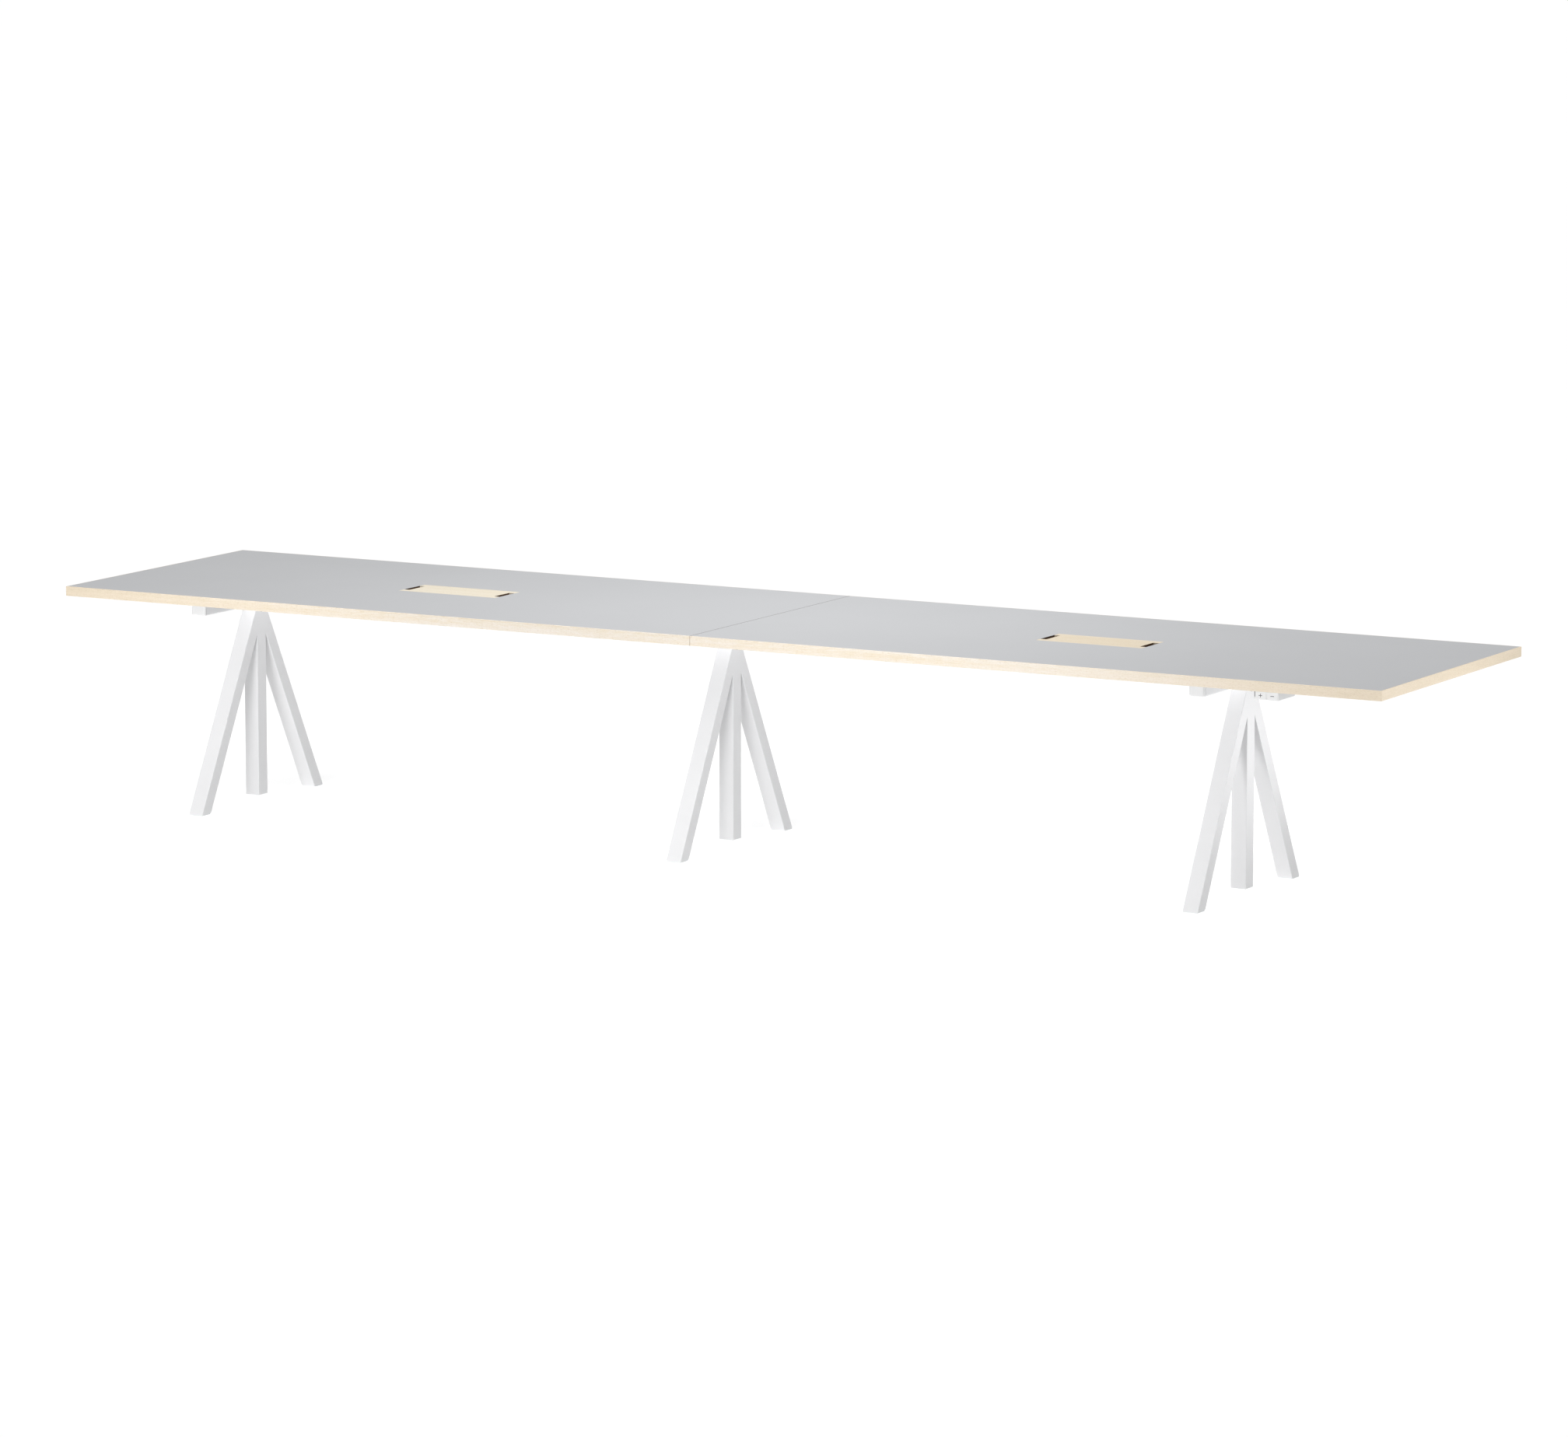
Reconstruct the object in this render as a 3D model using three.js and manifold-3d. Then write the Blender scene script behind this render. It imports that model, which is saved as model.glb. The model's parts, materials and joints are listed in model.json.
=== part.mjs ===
// Height-adjustable conference table: a long top in two halves on three A-shaped trestles.
// Millimetres, +Z up. X runs along the table and -Y is the front, where the control panel is.
// The origin is on the floor under the middle of the top, with the table at its lowest setting.

import * as THREE from 'three';
import { mergeVertices } from 'three/addons/utils/BufferGeometryUtils.js';
import Module from 'manifold-3d';

const wasm = await Module();
wasm.setup();

// Table top: two linoleum-faced boards with thin ash lippings on the outer sides
const TABLE_LENGTH = 4500;
const TABLE_DEPTH = 1000;
const TABLE_HEIGHT = 720;
const BOARD_THICKNESS = 28;
const LINOLEUM_THICKNESS = 2;
const LIPPING_THICKNESS = 3;
const SEAM_GAP = 1;

// Cable hatches: one in each half, with a lid that lifts out of a dark lining
const HATCH_FROM_SEAM = 1113;
const HATCH_LENGTH = 350;
const HATCH_DEPTH = 152;
const LINING_WALL = 10;
const LEDGE_WIDTH = 12;
const LEDGE_THICKNESS = 8;
const LID_CLEARANCE = 0.8;
const CABLE_SLOT_WIDTH = 21;
const CABLE_SLOT_LENGTH = 92;

// Trestles: square tubes, two splayed legs against a middle column that stops above the floor
const LEFT_OVERHANG = 375;
const RIGHT_OVERHANG = 665;
const FOOT_SPAN = 700;
const LEG_WIDTH = 50;
const LEG_THICKNESS = 44;
const LEG_WALL = 2.5;
const COLUMN_SIZE = 50;
const COLUMN_WALL = 2.5;
const COLUMN_FLOOR_GAP = 20;

// Foot glides: a pad under each splayed leg with a plug up the tube
const GLIDE_HEIGHT = 4;
const GLIDE_INSET = 1.5;
const GLIDE_PLUG = 16;

// Lifting column: a guide sleeve, an inner tube, and a screw spindle in a fixed nut
const FIT_CLEARANCE = 0.3;
const SLEEVE_WALL = 1.2;
const SLEEVE_FLANGE = 2;
const SLEEVE_LENGTH = 110;
const HEAD_GAP = 0.5;
const INNER_WALL = 2;
const INNER_FLOOR_GAP = 3;
const RAISED_OVERLAP = 133;
const SPINDLE_DIAMETER = 12;
const SPINDLE_FLOOR_GAP = 15;
const NUT_HEIGHT = 30;
const NUT_SIDE_GAP = 3.7;
const PUSH_TUBE_BORE = 16;
const PUSH_TUBE_WALL = 3;

// Support arms under the top: long ones at the ends, a short one in the middle
const ARM_WIDTH = 50;
const ARM_HEIGHT = 60;
const ARM_WALL = 2.5;
const ARM_CORNER = 6;
const END_ARM_LENGTH = 640;
const MIDDLE_ARM_LENGTH = 210;
const ARM_CAP = 10;
const ARM_CAP_PLUG = 14;
const ARM_SPINDLE_HOLE = 20;

// Gear motor inside each arm, over the spindle
const GEAR_CASE_LENGTH = 52;
const MOTOR_TOP_GAP = 1.5;
const MOTOR_DIAMETER = 38;
const MOTOR_LENGTH = 66;

// Cable ducts between the arms, folded from sheet steel
const DUCT_WIDTH = 170;
const DUCT_HEIGHT = 55;
const DUCT_FLANGE = 16;
const DUCT_WALL = 1.5;

// Plates screwed under the seam
const SEAM_PLATE_LENGTH = 200;
const SEAM_PLATE_WIDTH = 60;
const SEAM_PLATE_THICKNESS = 5;
const SEAM_PLATE_FROM_EDGE = 170;

// Control panel under the front edge, with a raise and a lower button
const PANEL_WIDTH = 78;
const PANEL_DEPTH = 110;
const PANEL_HEIGHT = 24;
const PANEL_FROM_END = 362;
const PANEL_SETBACK = 8;
const BUTTON_WIDTH = 34;
const BUTTON_HEIGHT = 17;
const BUTTON_DEPTH = 8;
const BUTTON_SPACING = 37;
const BUTTON_TRAVEL = 1.5;

// Control box with a recessed mains inlet, behind the middle of the top
const BOX_LENGTH = 250;
const BOX_DEPTH = 100;
const BOX_HEIGHT = 38;
const BOX_FROM_SEAM = 300;
const BOX_FROM_CENTRE = 150;
const BOX_EAR = 16;
const BOX_EAR_THICKNESS = 4;
const INLET_WIDTH = 28;
const INLET_HEIGHT = 20;
const INLET_RECESS = 17;

const ROUND_SIDES = 24;
const CORNER_STEPS = 4;
const CUT_MARGIN = 1;

// Heights and places that follow from the sizes above
const TOP_THICKNESS = BOARD_THICKNESS + LINOLEUM_THICKNESS;
const UNDERSIDE = TABLE_HEIGHT - TOP_THICKNESS;
const ARM_BOTTOM = UNDERSIDE - ARM_HEIGHT;
const SLEEVE_TOP = ARM_BOTTOM - HEAD_GAP;
const COLUMN_TOP = SLEEVE_TOP - SLEEVE_FLANGE;
const COLUMN_FLOOR = COLUMN_FLOOR_GAP + COLUMN_WALL;
const COLUMN_BORE = COLUMN_SIZE - 2 * COLUMN_WALL;
const SLEEVE_SIZE = COLUMN_BORE - 2 * FIT_CLEARANCE;
const SLEEVE_BORE = SLEEVE_SIZE - 2 * SLEEVE_WALL;
const INNER_SIZE = SLEEVE_BORE - 2 * FIT_CLEARANCE;
const INNER_BORE = INNER_SIZE - 2 * INNER_WALL;
const INNER_BOTTOM = COLUMN_FLOOR + INNER_FLOOR_GAP;
const STROKE = SLEEVE_TOP - INNER_BOTTOM - RAISED_OVERLAP;
const SPINDLE_BOTTOM = COLUMN_FLOOR + SPINDLE_FLOOR_GAP;
const NUT_TOP = SPINDLE_BOTTOM + STROKE + NUT_HEIGHT;
const ARM_FLOOR = ARM_BOTTOM + ARM_WALL;
const LEFT_TRESTLE = -TABLE_LENGTH / 2 + LEFT_OVERHANG;
const RIGHT_TRESTLE = TABLE_LENGTH / 2 - RIGHT_OVERHANG;
const MIDDLE_TRESTLE = (LEFT_TRESTLE + RIGHT_TRESTLE) / 2;

// The splay: each leg's outer face runs from the foot to the top corner of the column
const SPLAY = (FOOT_SPAN / 2 - COLUMN_SIZE / 2) / COLUMN_TOP;
const ACROSS = Math.hypot(1, SPLAY);
const outerFace = (z) => FOOT_SPAN / 2 - SPLAY * z;
const innerFace = (z) => outerFace(z) - LEG_THICKNESS * ACROSS;
const heightOnOuterFace = (y, inset) => (FOOT_SPAN / 2 - inset * ACROSS - y) / SPLAY;

const finish = (color, roughness, metalness) =>
  new THREE.MeshStandardMaterial({ color, roughness, metalness });

const LINOLEUM = finish(0xc4c5c7, 0.5, 0);
const ASH = finish(0xf2e2c4, 0.5, 0);
const SMOKED_BOARD = finish(0x5f432b, 0.8, 0);
const CORE_BOARD = finish(0x757574, 0.7, 0);
const WHITE_STEEL = finish(0xe8e8e7, 0.45, 0);
const WHITE_PLASTIC = finish(0xeeeeed, 0.5, 0);
const PALE_PLASTIC = finish(0xd9dadb, 0.5, 0);
const BLACK_PLASTIC = finish(0x1c1d1f, 0.5, 0);
const BRIGHT_STEEL = finish(0xb4b7bb, 0.35, 1);
const MOTOR_CASE = finish(0x4a4d52, 0.5, 0.6);

// Extrusions take a shape drawn in table axes: in (Y, Z) along X, in (X, Z) along Y, in (X, Y) along Z
const X_FROM_DEPTH = new THREE.Matrix4().set(0, 0, 1, 0, 1, 0, 0, 0, 0, 1, 0, 0, 0, 0, 0, 1);
const Y_FROM_DEPTH = new THREE.Matrix4().set(1, 0, 0, 0, 0, 0, -1, 0, 0, 1, 0, 0, 0, 0, 0, 1);

function extrude(shape, length) {
  const options = { depth: length, bevelEnabled: false, curveSegments: CORNER_STEPS };
  return new THREE.ExtrudeGeometry(shape, options);
}

function extrudeX(shape, low, high) {
  return extrude(shape, high - low).applyMatrix4(X_FROM_DEPTH).translate(low, 0, 0);
}

function extrudeY(shape, low, high) {
  return extrude(shape, high - low).applyMatrix4(Y_FROM_DEPTH).translate(0, high, 0);
}

function extrudeZ(shape, low, high) {
  return extrude(shape, high - low).translate(0, 0, low);
}

function turned(profile) {
  const points = profile.map(([radius, z]) => new THREE.Vector2(radius, z));
  return new THREE.LatheGeometry(points, ROUND_SIDES).applyMatrix4(Y_FROM_DEPTH);
}

function polygon(points) {
  return new THREE.Shape(points.map(([u, v]) => new THREE.Vector2(u, v)));
}

function rectangle(width, height, centreU = 0, centreV = 0) {
  const u = width / 2;
  const v = height / 2;
  return polygon([
    [centreU - u, centreV - v],
    [centreU + u, centreV - v],
    [centreU + u, centreV + v],
    [centreU - u, centreV + v],
  ]);
}

function roundedRectangle(width, height, radius) {
  const u = width / 2 - radius;
  const v = height / 2 - radius;
  const shape = new THREE.Shape();
  shape.absarc(u, -v, radius, -Math.PI / 2, 0);
  shape.absarc(u, v, radius, 0, Math.PI / 2);
  shape.absarc(-u, v, radius, Math.PI / 2, Math.PI);
  shape.absarc(-u, -v, radius, Math.PI, 1.5 * Math.PI);
  shape.closePath();
  return shape;
}

function block([xLow, xHigh], [yLow, yHigh], [zLow, zHigh]) {
  const geometry = new THREE.BoxGeometry(xHigh - xLow, yHigh - yLow, zHigh - zLow);
  return geometry.translate((xLow + xHigh) / 2, (yLow + yHigh) / 2, (zLow + zHigh) / 2);
}

function spread(centre, size) {
  return [centre - size / 2, centre + size / 2];
}

// Booleans go through closed solids with shared corners
function toSolid(geometry) {
  const bare = geometry.clone();
  bare.deleteAttribute('normal');
  bare.deleteAttribute('uv');
  const merged = mergeVertices(bare);
  const vertProperties = new Float32Array(merged.attributes.position.array);
  const triVerts = new Uint32Array(merged.index.array);
  return new wasm.Manifold(new wasm.Mesh({ numProp: 3, vertProperties, triVerts }));
}

function toGeometry(solid) {
  const mesh = solid.getMesh();
  const geometry = new THREE.BufferGeometry();
  geometry.setAttribute('position', new THREE.BufferAttribute(new Float32Array(mesh.vertProperties), 3));
  geometry.setIndex(new THREE.BufferAttribute(new Uint32Array(mesh.triVerts), 1));
  geometry.computeVertexNormals();
  return geometry;
}

function cut(body, ...tools) {
  return toGeometry(tools.reduce((solid, tool) => solid.subtract(toSolid(tool)), toSolid(body)));
}

function join(body, ...others) {
  return toGeometry(others.reduce((solid, other) => solid.add(toSolid(other)), toSolid(body)));
}

function piece(name, geometry, material) {
  const mesh = new THREE.Mesh(geometry, material);
  mesh.name = name;
  return mesh;
}

// One half of the top in its own frame: the seam is at X = 0 and the outer end at direction * half length
function topHalf(side, direction) {
  const half = new THREE.Group();
  half.position.z = UNDERSIDE;
  const along = (from, to) => [from * direction, to * direction].sort((a, b) => a - b);
  const outerEnd = TABLE_LENGTH / 2;
  const boardEnd = outerEnd - LIPPING_THICKNESS;
  const boardSide = TABLE_DEPTH / 2 - LIPPING_THICKNESS;
  const seamSide = SEAM_GAP / 2;
  const hatchX = HATCH_FROM_SEAM * direction;
  const full = [0, TOP_THICKNESS];

  const sheet = (openingLength, openingDepth) => {
    const [low, high] = along(seamSide, boardEnd);
    const shape = rectangle(high - low, 2 * boardSide, (low + high) / 2);
    shape.holes.push(rectangle(openingLength, openingDepth, hatchX));
    return shape;
  };
  const liningLength = HATCH_LENGTH + 2 * LINING_WALL;
  const liningDepth = HATCH_DEPTH + 2 * LINING_WALL;
  const board = extrudeZ(sheet(liningLength, liningDepth), 0, BOARD_THICKNESS);
  const linoleum = extrudeZ(sheet(HATCH_LENGTH, HATCH_DEPTH), BOARD_THICKNESS, TOP_THICKNESS);
  half.add(piece(`top_board_${side}`, board, CORE_BOARD));
  half.add(piece(`linoleum_${side}`, linoleum, LINOLEUM));

  const front = [-TABLE_DEPTH / 2, -boardSide];
  const rear = [boardSide, TABLE_DEPTH / 2];
  const alongSide = along(seamSide, outerEnd);
  half.add(piece(`edge_front_${side}`, block(alongSide, front, full), ASH));
  half.add(piece(`edge_rear_${side}`, block(alongSide, rear, full), ASH));
  const endStrip = block(along(boardEnd, outerEnd), [-boardSide, boardSide], full);
  half.add(piece(`edge_end_${side}`, endStrip, ASH));

  // The lining is open at both ends, under the cable slots, and has a ledge along each long side
  const ledgeGap = HATCH_DEPTH - 2 * LEDGE_WIDTH;
  const lining = cut(
    block(spread(hatchX, liningLength), spread(0, liningDepth), [0, BOARD_THICKNESS]),
    block(spread(hatchX, HATCH_LENGTH), spread(0, ledgeGap), [-CUT_MARGIN, TOP_THICKNESS]),
    block(spread(hatchX, HATCH_LENGTH), spread(0, HATCH_DEPTH), [LEDGE_THICKNESS, TOP_THICKNESS]),
  );
  half.add(piece(`hatch_lining_${side}`, lining, SMOKED_BOARD));

  // The lid is flush with the linoleum and has a notch across each end for cables
  const endX = HATCH_LENGTH / 2 - LID_CLEARANCE;
  const sideY = HATCH_DEPTH / 2 - LID_CLEARANCE;
  const notchX = HATCH_LENGTH / 2 - CABLE_SLOT_WIDTH;
  const notchY = CABLE_SLOT_LENGTH / 2;
  const lid = polygon([
    [-endX, -sideY], [endX, -sideY], [endX, -notchY], [notchX, -notchY], [notchX, notchY], [endX, notchY],
    [endX, sideY], [-endX, sideY], [-endX, notchY], [-notchX, notchY], [-notchX, -notchY], [-endX, -notchY],
  ]);
  const lidMesh = piece(`hatch_lid_${side}`, extrudeZ(lid, LEDGE_THICKNESS, TOP_THICKNESS), ASH);
  lidMesh.position.x = hatchX;
  half.add(lidMesh);
  return half;
}

// A splayed leg and its glide, on the front (-1) or the rear (1) of the column
function splayedLeg(legName, glideName, facing) {
  const leg = new THREE.Group();
  const columnSide = COLUMN_SIZE / 2;
  const outline = (outer, inner, low, againstColumn) => polygon([
    [facing * (outerFace(low) - outer * ACROSS), low],
    [facing * againstColumn, heightOnOuterFace(againstColumn, outer)],
    [facing * againstColumn, heightOnOuterFace(againstColumn, LEG_THICKNESS - inner)],
    [facing * (innerFace(low) + inner * ACROSS), low],
  ]);
  const bore = outline(LEG_WALL, LEG_WALL, GLIDE_HEIGHT - CUT_MARGIN, columnSide + LEG_WALL);
  const tube = cut(
    extrudeX(outline(0, 0, GLIDE_HEIGHT, columnSide), ...spread(0, LEG_WIDTH)),
    extrudeX(bore, ...spread(0, LEG_WIDTH - 2 * LEG_WALL)),
  );
  leg.add(piece(legName, tube, WHITE_STEEL));

  const slice = (inset, low, high) => polygon([
    [facing * (outerFace(low) - inset * ACROSS), low],
    [facing * (outerFace(high) - inset * ACROSS), high],
    [facing * (innerFace(high) + inset * ACROSS), high],
    [facing * (innerFace(low) + inset * ACROSS), low],
  ]);
  const plugInset = LEG_WALL + FIT_CLEARANCE;
  const pad = extrudeX(slice(GLIDE_INSET, 0, GLIDE_HEIGHT), ...spread(0, LEG_WIDTH - 2 * GLIDE_INSET));
  const plug = extrudeX(slice(plugInset, GLIDE_HEIGHT / 2, GLIDE_HEIGHT + GLIDE_PLUG),
    ...spread(0, LEG_WIDTH - 2 * plugInset));
  leg.add(piece(glideName, join(pad, plug), PALE_PLASTIC));
  return leg;
}

// What stands still in one trestle: legs, glides, outer column, guide sleeve and the fixed nut
function trestleBase(side) {
  const base = new THREE.Group();
  base.add(splayedLeg(`front_leg_${side}`, `foot_glide_front_${side}`, -1));
  base.add(splayedLeg(`rear_leg_${side}`, `foot_glide_rear_${side}`, 1));

  const column = cut(
    block(spread(0, COLUMN_SIZE), spread(0, COLUMN_SIZE), [COLUMN_FLOOR_GAP, COLUMN_TOP]),
    block(spread(0, COLUMN_BORE), spread(0, COLUMN_BORE), [COLUMN_FLOOR, COLUMN_TOP + CUT_MARGIN]),
  );
  base.add(piece(`column_tube_${side}`, column, WHITE_STEEL));

  const sleeveBottom = COLUMN_TOP - SLEEVE_LENGTH;
  const boreThrough = [sleeveBottom - CUT_MARGIN, SLEEVE_TOP + CUT_MARGIN];
  const sleeve = cut(
    join(
      block(spread(0, COLUMN_SIZE), spread(0, COLUMN_SIZE), [COLUMN_TOP, SLEEVE_TOP]),
      block(spread(0, SLEEVE_SIZE), spread(0, SLEEVE_SIZE), [sleeveBottom, SLEEVE_TOP]),
    ),
    block(spread(0, SLEEVE_BORE), spread(0, SLEEVE_BORE), boreThrough),
  );
  base.add(piece(`guide_sleeve_${side}`, sleeve, PALE_PLASTIC));

  const nutRadius = INNER_BORE / 2 - NUT_SIDE_GAP;
  const tubeRadius = PUSH_TUBE_BORE / 2 + PUSH_TUBE_WALL;
  const threadRadius = SPINDLE_DIAMETER / 2 + FIT_CLEARANCE;
  const nutBottom = NUT_TOP - NUT_HEIGHT;
  const pushTube = turned([
    [PUSH_TUBE_BORE / 2, COLUMN_FLOOR], [tubeRadius, COLUMN_FLOOR], [tubeRadius, nutBottom],
    [nutRadius, nutBottom], [nutRadius, NUT_TOP], [threadRadius, NUT_TOP],
    [threadRadius, nutBottom], [PUSH_TUBE_BORE / 2, nutBottom], [PUSH_TUBE_BORE / 2, COLUMN_FLOOR],
  ]);
  base.add(piece(`push_tube_${side}`, pushTube, BRIGHT_STEEL));
  return base;
}

// What rises with the top in one trestle: inner column, spindle, gear motor and support arm
function trestleLift(side, armLength, capped) {
  const lift = new THREE.Group();
  const innerThrough = [INNER_BOTTOM - CUT_MARGIN, ARM_BOTTOM + CUT_MARGIN];
  const inner = cut(
    block(spread(0, INNER_SIZE), spread(0, INNER_SIZE), [INNER_BOTTOM, ARM_BOTTOM]),
    block(spread(0, INNER_BORE), spread(0, INNER_BORE), innerThrough),
  );
  lift.add(piece(`inner_column_${side}`, inner, WHITE_STEEL));

  const spindleRadius = SPINDLE_DIAMETER / 2;
  const spindle = turned([
    [0, SPINDLE_BOTTOM], [spindleRadius, SPINDLE_BOTTOM], [spindleRadius, ARM_FLOOR], [0, ARM_FLOOR],
  ]);
  lift.add(piece(`spindle_${side}`, spindle, BRIGHT_STEEL));

  // The gear case stands on the flat of the arm's floor, between its rounded corners
  const caseWidth = ARM_WIDTH - 2 * Math.max(ARM_CORNER, ARM_WALL + FIT_CLEARANCE);
  const caseTop = UNDERSIDE - ARM_WALL - MOTOR_TOP_GAP;
  const gearCase = block(spread(0, caseWidth), spread(0, GEAR_CASE_LENGTH), [ARM_FLOOR, caseTop]);
  const motorRadius = MOTOR_DIAMETER / 2;
  const barrel = new THREE.CylinderGeometry(motorRadius, motorRadius, MOTOR_LENGTH, ROUND_SIDES);
  barrel.translate(0, GEAR_CASE_LENGTH / 2 + MOTOR_LENGTH / 2 - CUT_MARGIN, (ARM_FLOOR + caseTop) / 2);
  lift.add(piece(`gear_motor_${side}`, join(gearCase, barrel), MOTOR_CASE));

  // An end arm is an open tube with caps, the short middle arm is a box with welded ends
  const armMiddle = UNDERSIDE - ARM_HEIGHT / 2;
  const section = roundedRectangle(ARM_WIDTH, ARM_HEIGHT, ARM_CORNER);
  const bore = (fit) => roundedRectangle(
    ARM_WIDTH - 2 * (ARM_WALL + fit), ARM_HEIGHT - 2 * (ARM_WALL + fit), ARM_CORNER - ARM_WALL);
  const tubeEnd = armLength / 2 - (capped ? ARM_CAP : 0);
  const boreEnd = capped ? tubeEnd + CUT_MARGIN : tubeEnd - ARM_WALL;
  const hole = turned([
    [0, -ARM_HEIGHT / 2 - CUT_MARGIN], [ARM_SPINDLE_HOLE / 2, -ARM_HEIGHT / 2 - CUT_MARGIN],
    [ARM_SPINDLE_HOLE / 2, 0], [0, 0],
  ]);
  const arm = piece(`arm_${side}`,
    cut(extrudeY(section, -tubeEnd, tubeEnd), extrudeY(bore(0), -boreEnd, boreEnd), hole), WHITE_STEEL);
  arm.position.z = armMiddle;
  lift.add(arm);

  const capEnds = capped ? [['front', -1], ['rear', 1]] : [];
  for (const [end, facing] of capEnds) {
    const along = (from, to) => [from * facing, to * facing].sort((a, b) => a - b);
    const cap = piece(`arm_cap_${end}_${side}`, join(
      extrudeY(section, ...along(tubeEnd, tubeEnd + ARM_CAP)),
      extrudeY(bore(FIT_CLEARANCE), ...along(tubeEnd - ARM_CAP_PLUG, tubeEnd + ARM_CAP / 2)),
    ), WHITE_PLASTIC);
    cap.position.z = armMiddle;
    lift.add(cap);
  }
  return lift;
}

// A hat-shaped cable duct from the side of one arm to the side of the next, open to the hatch above
function cableDuct(side, fromArm, toArm) {
  const web = DUCT_WIDTH / 2;
  const lip = web + DUCT_FLANGE;
  const inside = web - DUCT_WALL;
  const section = polygon([
    [-lip, 0], [-lip, -DUCT_WALL], [-web, -DUCT_WALL], [-web, -DUCT_HEIGHT], [web, -DUCT_HEIGHT],
    [web, -DUCT_WALL], [lip, -DUCT_WALL], [lip, 0], [inside, 0], [inside, DUCT_WALL - DUCT_HEIGHT],
    [-inside, DUCT_WALL - DUCT_HEIGHT], [-inside, 0],
  ]);
  const duct = extrudeX(section, fromArm + ARM_WIDTH / 2, toArm - ARM_WIDTH / 2);
  const mesh = piece(`cable_duct_${side}`, duct, WHITE_STEEL);
  mesh.position.z = UNDERSIDE;
  return mesh;
}

function seamPlate(end, facing) {
  const y = facing * (TABLE_DEPTH / 2 - SEAM_PLATE_FROM_EDGE);
  const across = spread(y, SEAM_PLATE_WIDTH);
  const plate = block(spread(0, SEAM_PLATE_LENGTH), across, [-SEAM_PLATE_THICKNESS, 0]);
  const mesh = piece(`seam_plate_${end}`, plate, BRIGHT_STEEL);
  mesh.position.z = UNDERSIDE;
  return mesh;
}

// The panel's buttons sit in pockets of its front face and travel straight back into them
function controlPanel() {
  const panel = new THREE.Group();
  panel.position.set(TABLE_LENGTH / 2 - PANEL_FROM_END, -TABLE_DEPTH / 2 + PANEL_SETBACK, UNDERSIDE);
  const middle = -PANEL_HEIGHT / 2;
  const pocketWidth = BUTTON_WIDTH + 2 * FIT_CLEARANCE;
  const pocketHeight = BUTTON_HEIGHT + 2 * FIT_CLEARANCE;
  const pocketDepth = BUTTON_DEPTH + BUTTON_TRAVEL + 2 * FIT_CLEARANCE;
  const buttons = [['raise_button', -1], ['lower_button', 1]];
  const centre = (place) => place * BUTTON_SPACING / 2;
  const housing = cut(
    block(spread(0, PANEL_WIDTH), [0, PANEL_DEPTH], [-PANEL_HEIGHT, 0]),
    ...buttons.map(([, place]) =>
      block(spread(centre(place), pocketWidth), [-CUT_MARGIN, pocketDepth], spread(middle, pocketHeight))),
  );
  panel.add(piece('control_panel', housing, WHITE_PLASTIC));
  for (const [name, place] of buttons) {
    const width = spread(centre(place), BUTTON_WIDTH);
    const button = block(width, [0, BUTTON_DEPTH], spread(middle, BUTTON_HEIGHT));
    panel.add(piece(name, button, WHITE_PLASTIC));
  }
  return panel;
}

function controlBox() {
  const high = BOX_FROM_SEAM + BOX_LENGTH;
  const depth = [BOX_FROM_CENTRE, BOX_FROM_CENTRE + BOX_DEPTH];
  const middleY = BOX_FROM_CENTRE + BOX_DEPTH / 2;
  const housing = join(
    block([BOX_FROM_SEAM, high], depth, [-BOX_HEIGHT, 0]),
    block([BOX_FROM_SEAM - BOX_EAR, high + BOX_EAR], depth, [-BOX_EAR_THICKNESS, 0]),
  );
  const inletMiddle = -(BOX_HEIGHT + BOX_EAR_THICKNESS) / 2;
  const inlet = block([high - INLET_RECESS, high + CUT_MARGIN], spread(middleY, INLET_WIDTH),
    spread(inletMiddle, INLET_HEIGHT));
  const mesh = piece('control_box', cut(housing, inlet), BLACK_PLASTIC);
  mesh.position.z = UNDERSIDE;
  return mesh;
}

const table = new THREE.Group();
const trestles = [
  ['left', LEFT_TRESTLE, END_ARM_LENGTH, true],
  ['middle', MIDDLE_TRESTLE, MIDDLE_ARM_LENGTH, false],
  ['right', RIGHT_TRESTLE, END_ARM_LENGTH, true],
];
for (const [side, x, armLength, capped] of trestles) {
  const trestle = new THREE.Group();
  trestle.position.x = x;
  trestle.add(trestleBase(side), trestleLift(side, armLength, capped));
  table.add(trestle);
}
table.add(topHalf('left', -1), topHalf('right', 1));
table.add(cableDuct('left', LEFT_TRESTLE, MIDDLE_TRESTLE));
table.add(cableDuct('right', MIDDLE_TRESTLE, RIGHT_TRESTLE));
table.add(seamPlate('front', -1), seamPlate('rear', 1));
table.add(controlPanel(), controlBox());

export default table;
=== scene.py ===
# A motor-lifted conference table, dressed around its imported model. Metres, +Z up, and -Y is the front.
import json
import math

import bmesh
import bpy
from mathutils import Matrix, Vector

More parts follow.
